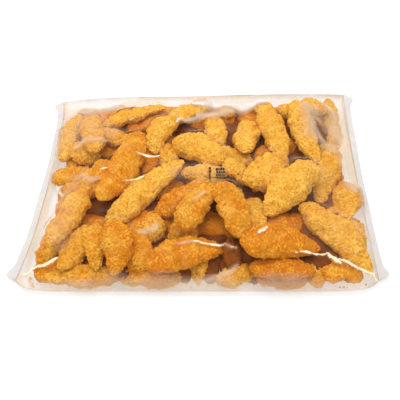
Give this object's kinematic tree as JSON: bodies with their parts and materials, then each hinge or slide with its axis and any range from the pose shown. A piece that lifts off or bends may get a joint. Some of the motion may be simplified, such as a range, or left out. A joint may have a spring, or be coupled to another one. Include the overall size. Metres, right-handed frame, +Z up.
{
  "type": "bag of frozen chicken tenders",
  "caption": "Shut pillow bag of frozen breaded chicken tenders lying flat, with a seal across each end and the tenders pressed up under its film.",
  "frame": {"origin": "middle of the bag's outline, on the surface that it lies on", "axes": "+X along the bag from one end seal to the other, +Y away from the viewer across it, +Z up through it"},
  "size_m": [0.45, 0.3159, 0.06],
  "materials": {
    "tender_bag": "rough golden crumb under clear film"
  },
  "bodies": {
    "root": {"tender_bag": "tender_bag"}
  },
  "joints": []
}
